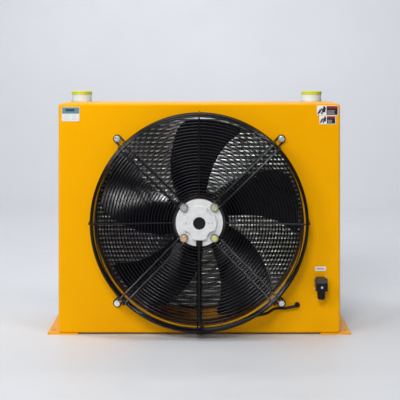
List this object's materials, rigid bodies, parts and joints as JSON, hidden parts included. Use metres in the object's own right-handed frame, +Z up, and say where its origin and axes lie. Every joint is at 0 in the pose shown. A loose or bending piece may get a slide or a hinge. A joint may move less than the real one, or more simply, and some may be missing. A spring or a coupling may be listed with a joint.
{
  "type": "hydraulic oil cooler",
  "caption": "Air-blast hydraulic oil cooler: folded steel case on foot plates, tube-and-fin core with capped oil ports, external-rotor axial fan hung in a round wire guard.",
  "frame": {"origin": "centre of the rectangle of foot fixing holes, on the floor plane under the foot plates", "axes": "+X to the right seen from the fan side, +Y to the rear towards the oil core, +Z up"},
  "size_m": [0.744, 0.3415, 0.5915],
  "materials": {
    "case_paint": "semi-gloss yellow powder coat on steel sheet",
    "guard_black": "glossy black coated steel wire",
    "blade_black": "glossy black coated steel",
    "cast_alloy": "bright die-cast alloy",
    "plug_grey": "dark grey pressed plug",
    "zinc_steel": "white zinc plate",
    "yellow_zinc_steel": "yellow passivated zinc plate",
    "core_alloy": "brazed mill-finish alloy",
    "core_black": "thin black paint on brazed alloy",
    "cap_plastic": "soft translucent lime-yellow plastic",
    "cable_rubber": "black rubber sheath",
    "black_plastic": "black moulded plastic",
    "copper": "varnished copper winding",
    "lamination": "electrical steel stack",
    "bearing_steel": "ground bearing steel",
    "label_film": "printed film",
    "label_metal": "printed alloy plate"
  },
  "bodies": {
    "housing": {"air_fins": "core_alloy", "base_nuts": "zinc_steel", "base_screws": "zinc_steel", "bearing_outer_rings": "bearing_steel", "cable_ties": "black_plastic", "connector_base": "black_plastic", "contact_blades": "zinc_steel", "core_screws": "zinc_steel", "core_side_plates": "core_alloy", "core_tubes": "core_alloy", "core_washers": "zinc_steel", "fan_case": "case_paint", "foot_left": "case_paint", "foot_right": "case_paint", "foot_screws": "zinc_steel", "guard_face_rings": "guard_black", "guard_nuts": "zinc_steel", "guard_screws": "zinc_steel", "guard_side_rings": "guard_black", "guard_spokes": "guard_black", "guard_washers": "zinc_steel", "header_tank_left": "core_alloy", "header_tank_right": "core_alloy", "inner_wiring": "cable_rubber", "motor_bolts": "yellow_zinc_steel", "motor_cable": "cable_rubber", "motor_cable_gland": "black_plastic", "motor_centre_plug": "plug_grey", "motor_end_plate": "cast_alloy", "motor_flat_washers": "zinc_steel", "motor_spring_washers": "zinc_steel", "nameplate": "label_metal", "panel_grommet": "cable_rubber", "port_boss_left": "core_alloy", "port_boss_right": "core_alloy", "stator_core": "lamination", "stator_winding": "copper", "stickers": "label_film", "wave_washer": "bearing_steel"},
    "rotor": {"rotor_shaft": "bearing_steel", "shaft_circlip": "bearing_steel", "rotor_can": "blade_black", "rotor_cage_ring": "lamination", "impeller_hub_ring": "blade_black", "hub_screws": "zinc_steel", "bearing_inner_rings": "bearing_steel", "fan_blade_1": "blade_black", "fan_blade_2": "blade_black", "fan_blade_3": "blade_black", "fan_blade_4": "blade_black", "fan_blade_5": "blade_black"},
    "ball_cages": {"bearing_balls": "bearing_steel", "bearing_cages": "bearing_steel"},
    "cap_left": {"port_cap_left": "cap_plastic"},
    "cap_right": {"port_cap_right": "cap_plastic"},
    "plug": {"connector_plug": "black_plastic", "connector_screw": "zinc_steel", "gland_nut": "black_plastic", "gland_seal": "cable_rubber", "connector_gasket": "cable_rubber"}
  },
  "joints": [
    {"name": "fan_spin", "type": "hinge", "parent": "housing", "child": "rotor", "pos_m": [0, 0, 0.279], "axis": [0, 1, 0], "continuous": true},
    {"name": "ball_cage_spin", "type": "hinge", "parent": "housing", "child": "ball_cages", "pos_m": [0, 0, 0.279], "axis": [0, 1, 0], "continuous": true},
    {"name": "cap_left_pull", "type": "slide", "parent": "housing", "child": "cap_left", "axis": [0, 0, 1], "range_m": [0, 0.08]},
    {"name": "cap_right_pull", "type": "slide", "parent": "housing", "child": "cap_right", "axis": [0, 0, 1], "range_m": [0, 0.08]},
    {"name": "plug_pull", "type": "slide", "parent": "housing", "child": "plug", "axis": [0, -1, 0], "range_m": [0, 0.03]}
  ],
  "couplings": [
    {"joint": "ball_cage_spin", "follows": "fan_spin", "ratio": 0.3808}
  ]
}
